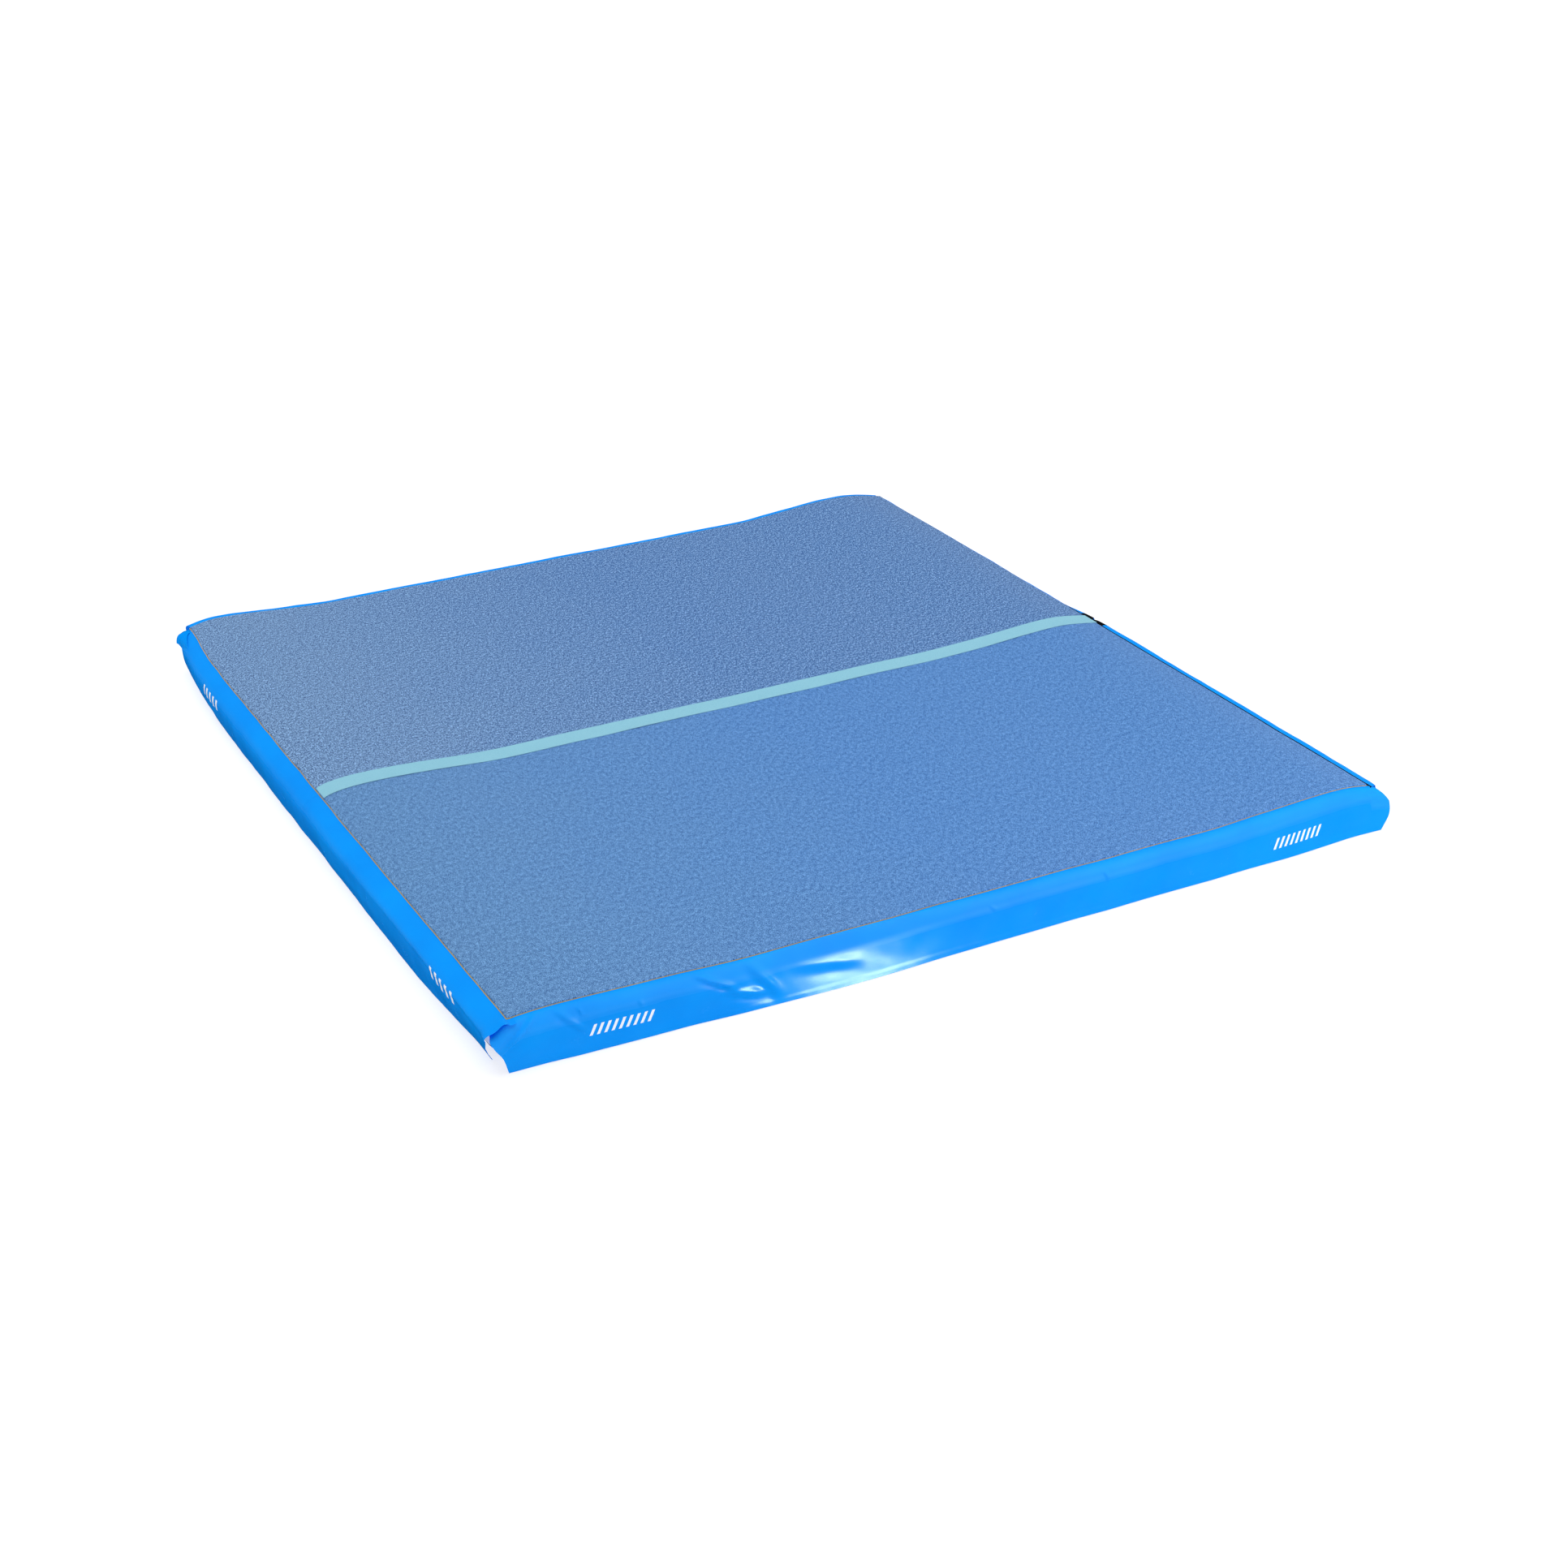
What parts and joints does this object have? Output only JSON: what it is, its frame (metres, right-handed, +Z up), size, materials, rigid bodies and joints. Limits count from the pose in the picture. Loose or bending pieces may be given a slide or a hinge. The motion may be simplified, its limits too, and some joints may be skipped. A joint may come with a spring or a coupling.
{
  "type": "inflatable gymnastics floor mat",
  "caption": "Square drop-stitch air mat under a two-piece carpet-topped cover with skirt flaps, a joining strip, carry handles and an air valve.",
  "frame": {"origin": "centre of the footprint, on the floor that the mat lies on", "axes": "+X along the joint strip towards the air valve, +Y across the strip towards the back, +Z up"},
  "size_m": [4, 4, 0.24],
  "materials": {
    "chamber_pvc": "satin",
    "wall_pvc": "satin",
    "seam_pvc": "satin",
    "thread": "matte",
    "webbing": "matte",
    "cover_pvc": "gloss",
    "backing": "matte",
    "front_pile": "matte",
    "back_pile": "matte",
    "strip_fabric": "matte",
    "seal_rubber": "matte",
    "valve_plastic": "satin",
    "poppet_plastic": "satin",
    "spring_steel": "satin"
  },
  "bodies": {
    "mat": {"bottom_skin": "chamber_pvc", "top_skin": "chamber_pvc", "front_wall": "wall_pvc", "back_wall": "wall_pvc", "left_wall": "wall_pvc", "right_wall": "wall_pvc", "corner_walls": "wall_pvc", "corner_patches": "seam_pvc", "top_seam_tapes": "seam_pvc", "bottom_seam_tapes": "seam_pvc", "drop_stitch_threads": "thread", "handle_patches": "seam_pvc", "carry_handles": "webbing", "front_cover_sheet": "cover_pvc", "back_cover_sheet": "cover_pvc", "front_backing": "backing", "back_backing": "backing", "front_carpet": "front_pile", "back_carpet": "back_pile", "joint_strip": "strip_fabric", "valve_gasket": "seal_rubber", "valve_body": "valve_plastic", "valve_back_nut": "valve_plastic", "valve_spring": "spring_steel", "tether_ring": "seal_rubber"},
    "front_flap": {"front_flap": "cover_pvc"},
    "back_flap": {"back_flap": "cover_pvc"},
    "left_front_flap": {"left_front_flap": "cover_pvc"},
    "left_back_flap": {"left_back_flap": "cover_pvc"},
    "right_front_flap": {"right_front_flap": "cover_pvc"},
    "right_back_flap": {"right_back_flap": "cover_pvc"},
    "cap_hinge": {"cap_link": "seal_rubber"},
    "cap": {"valve_cap": "valve_plastic", "valve_cap_seal": "seal_rubber"},
    "poppet": {"valve_poppet": "poppet_plastic"}
  },
  "joints": [
    {"name": "front_flap_lift", "type": "hinge", "parent": "mat", "child": "front_flap", "pos_m": [0, -1.964, 0.2263], "axis": [-1, 0, 0], "range_deg": [0, 130]},
    {"name": "back_flap_lift", "type": "hinge", "parent": "mat", "child": "back_flap", "pos_m": [0, 1.964, 0.2263], "axis": [1, 0, 0], "range_deg": [0, 130]},
    {"name": "left_front_flap_lift", "type": "hinge", "parent": "mat", "child": "left_front_flap", "pos_m": [-1.905, -0.9765, 0.2263], "axis": [0, 1, 0], "range_deg": [0, 130]},
    {"name": "left_back_flap_lift", "type": "hinge", "parent": "mat", "child": "left_back_flap", "pos_m": [-1.905, 0.9765, 0.2263], "axis": [0, 1, 0], "range_deg": [0, 130]},
    {"name": "right_front_flap_lift", "type": "hinge", "parent": "mat", "child": "right_front_flap", "pos_m": [1.905, -1.011, 0.2263], "axis": [0, -1, 0], "range_deg": [0, 130]},
    {"name": "right_back_flap_lift", "type": "hinge", "parent": "mat", "child": "right_back_flap", "pos_m": [1.905, 1.011, 0.2263], "axis": [0, -1, 0], "range_deg": [0, 130]},
    {"name": "valve_cap_flip", "type": "hinge", "parent": "mat", "child": "cap_hinge", "pos_m": [1.984, 0, 0.1455], "axis": [0, -1, 0], "range_deg": [0, 140]},
    {"name": "valve_cap_twist", "type": "hinge", "parent": "cap_hinge", "child": "cap", "pos_m": [1.991, 0, 0.1125], "axis": [1, 0, 0], "range_deg": [0, 90]},
    {"name": "valve_poppet_press", "type": "slide", "parent": "mat", "child": "poppet", "axis": [-1, 0, 0], "range_m": [0, 0.005], "stiffness_N_per_m": 400, "springref_m": -0.004, "deforming": ["valve_spring"]}
  ]
}
